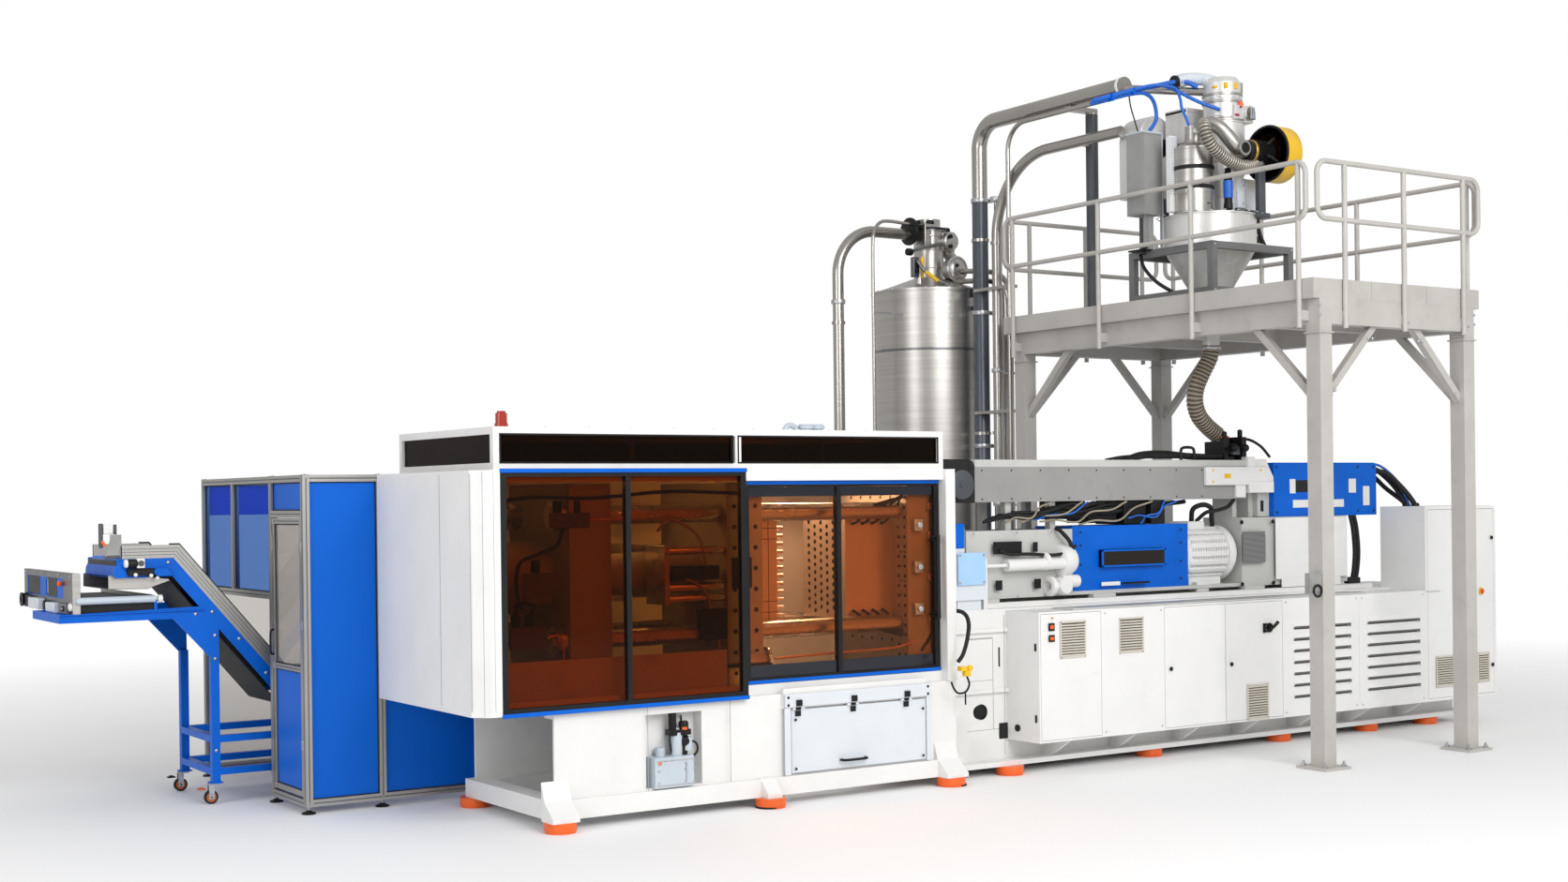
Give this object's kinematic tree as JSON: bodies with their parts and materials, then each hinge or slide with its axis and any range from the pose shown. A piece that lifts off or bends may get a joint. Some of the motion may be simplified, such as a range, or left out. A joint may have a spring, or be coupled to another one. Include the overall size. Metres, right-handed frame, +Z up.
{
  "type": "injection molding machine",
  "caption": "Horizontal injection molding machine with guarded clamp unit, injection unit, control cabinets, material platform, drying tower, take-out cell and outfeed conveyor.",
  "frame": {"origin": "floor point under the centre of the front levelling pad at the clamp end", "axes": "+X from the clamp end to the injection end, +Y away from the operator side, +Z up"},
  "size_m": [12.406, 5.727, 5.9399],
  "materials": {
    "white_paint": "semi-gloss powder coat",
    "light_grey_paint": "semi-gloss paint",
    "mid_grey_paint": "satin paint",
    "dark_grey_paint": "satin paint",
    "platform_grey_paint": "satin paint on structural steel",
    "black_frame": "black satin paint",
    "blue_paint": "semi-gloss powder coat",
    "blue_panel": "smooth sheet",
    "amber_pane": "amber polycarbonate",
    "orange_pad": "gloss paint",
    "red_lens": "moulded lens",
    "profile_aluminium": "anodised extrusion",
    "ground_steel": "ground steel",
    "stainless_steel": "brushed stainless steel",
    "black_plastic": "moulded",
    "red_plastic": "moulded",
    "yellow_paint": "gloss paint",
    "beige_hose": "ribbed plastic hose",
    "belt_rubber": "belt",
    "zinc_steel": "zinc plated pressing",
    "orange_wheel": "moulded tread"
  },
  "bodies": {
    "machine": {"clamp_bed": "white_paint", "leveling_feet": "orange_pad", "lube_unit": "light_grey_paint", "guard_shell": "white_paint", "front_window_frame": "black_frame", "amber_glazing": "amber_pane", "roof_frame": "profile_aluminium", "beacon": "red_lens", "fixed_platen": "mid_grey_paint", "rear_platen": "mid_grey_paint", "tie_bars": "ground_steel", "mould_fixed_half": "ground_steel", "drop_tray": "white_paint", "injection_bed": "white_paint", "cabinet_shell": "white_paint", "tall_cabinet": "white_paint", "terminal_box": "light_grey_paint", "platform_frame": "platform_grey_paint", "handrails": "platform_grey_paint", "hopper_stand": "dark_grey_paint", "hopper": "stainless_steel", "vacuum_receiver": "light_grey_paint", "dust_filter": "stainless_steel", "filter_control_box": "mid_grey_paint", "suction_blower": "yellow_paint", "throat_hose": "beige_hose", "conveying_pipes": "stainless_steel", "drying_tower": "stainless_steel", "cell_frame": "profile_aluminium", "cell_panels": "blue_panel", "conveyor_frame": "blue_paint", "conveyor_belt": "belt_rubber"},
    "mould_door": {"mould_door": "black_frame", "mould_door_glass": "amber_pane"},
    "moving_platen": {"moving_platen": "mid_grey_paint", "mould_moving_half": "ground_steel"},
    "chute_flap": {"chute_flap": "light_grey_paint"},
    "injection_carriage": {"injection_carriage": "mid_grey_paint", "shot_unit": "white_paint", "drive_cover": "blue_paint", "drive_motor": "white_paint", "barrel_guard": "mid_grey_paint", "barrel": "ground_steel", "upper_cover": "blue_paint", "throat_valve": "dark_grey_paint"},
    "screw": {"screw": "ground_steel"},
    "cabinet_door_1": {"cabinet_door_1": "white_paint"},
    "cabinet_door_2": {"cabinet_door_2": "white_paint"},
    "cabinet_door_3": {"cabinet_door_3": "white_paint"},
    "main_switch": {"main_switch": "black_plastic"},
    "tall_cabinet_door": {"tall_cabinet_door": "white_paint"},
    "estop_button": {"estop_button": "red_plastic"},
    "cell_door": {"cell_door": "profile_aluminium"},
    "tower_valve_lever": {"tower_valve_lever": "yellow_paint"},
    "castor_fork_1": {"castor_fork_1": "zinc_steel"},
    "castor_fork_2": {"castor_fork_2": "zinc_steel"},
    "castor_wheel_1": {"castor_wheel_1": "orange_wheel"},
    "castor_wheel_2": {"castor_wheel_2": "orange_wheel"},
    "castor_wheel_3": {"castor_wheel_3": "orange_wheel"},
    "castor_wheel_4": {"castor_wheel_4": "orange_wheel"}
  },
  "joints": [
    {"name": "mould_door_slide", "type": "slide", "parent": "machine", "child": "mould_door", "axis": [-1, 0, 0], "range_m": [0, 1.6]},
    {"name": "mould_close", "type": "slide", "parent": "machine", "child": "moving_platen", "axis": [1, 0, 0], "range_m": [0, 0.62]},
    {"name": "chute_flap_hinge", "type": "hinge", "parent": "machine", "child": "chute_flap", "pos_m": [2.5, 0.041, 0.68], "axis": [-1, 0, 0], "range_deg": [0, 100]},
    {"name": "carriage_slide", "type": "slide", "parent": "machine", "child": "injection_carriage", "axis": [1, 0, 0], "range_m": [0, 0.25], "deforming": ["throat_hose"]},
    {"name": "screw_spin", "type": "hinge", "parent": "injection_carriage", "child": "screw", "pos_m": [5.5, 0.68, 2.32], "axis": [1, 0, 0], "continuous": true},
    {"name": "cabinet_door_1_hinge", "type": "hinge", "parent": "machine", "child": "cabinet_door_1", "pos_m": [4.152, -0.091, 0.77], "axis": [0, 0, -1], "range_deg": [0, 105]},
    {"name": "cabinet_door_2_hinge", "type": "hinge", "parent": "machine", "child": "cabinet_door_2", "pos_m": [6.171, -0.091, 0.77], "axis": [0, 0, 1], "range_deg": [0, 105]},
    {"name": "cabinet_door_3_hinge", "type": "hinge", "parent": "machine", "child": "cabinet_door_3", "pos_m": [6.871, -0.091, 0.77], "axis": [0, 0, 1], "range_deg": [0, 105]},
    {"name": "tall_door_hinge", "type": "hinge", "parent": "machine", "child": "tall_cabinet_door", "pos_m": [8.847, -0.091, 1.15], "axis": [0, 0, -1], "range_deg": [0, 100]},
    {"name": "main_switch_turn", "type": "hinge", "parent": "cabinet_door_3", "child": "main_switch", "pos_m": [6.717, -0.11, 1.044], "axis": [0, 1, 0], "range_deg": [0, 90]},
    {"name": "estop_press", "type": "slide", "parent": "tall_cabinet_door", "child": "estop_button", "axis": [0, 1, 0], "range_m": [0, 0.006], "stiffness_N_per_m": 400, "springref_m": -0.002},
    {"name": "cell_door_hinge", "type": "hinge", "parent": "machine", "child": "cell_door", "pos_m": [-1.101, 1.816, 1.1], "axis": [0, 0, 1], "range_deg": [0, 100]},
    {"name": "tower_valve_turn", "type": "hinge", "parent": "machine", "child": "tower_valve_lever", "pos_m": [5.88, 3.58, 4.38], "axis": [0, 1, 0], "range_deg": [0, 90]},
    {"name": "castor_swivel_1", "type": "hinge", "parent": "machine", "child": "castor_fork_1", "pos_m": [-1.48, 2.67, 0.14], "axis": [0, 0, 1], "continuous": true},
    {"name": "castor_roll_1", "type": "hinge", "parent": "castor_fork_1", "child": "castor_wheel_1", "pos_m": [-1.515, 2.67, 0.05], "axis": [0, 1, 0], "continuous": true},
    {"name": "castor_swivel_2", "type": "hinge", "parent": "machine", "child": "castor_fork_2", "pos_m": [-1.48, 3.45, 0.14], "axis": [0, 0, 1], "continuous": true},
    {"name": "castor_roll_2", "type": "hinge", "parent": "castor_fork_2", "child": "castor_wheel_2", "pos_m": [-1.515, 3.45, 0.05], "axis": [0, 1, 0], "continuous": true},
    {"name": "castor_roll_3", "type": "hinge", "parent": "machine", "child": "castor_wheel_3", "pos_m": [-0.49, 2.67, 0.05], "axis": [0, 1, 0], "continuous": true},
    {"name": "castor_roll_4", "type": "hinge", "parent": "machine", "child": "castor_wheel_4", "pos_m": [-0.49, 3.45, 0.05], "axis": [0, 1, 0], "continuous": true}
  ]
}
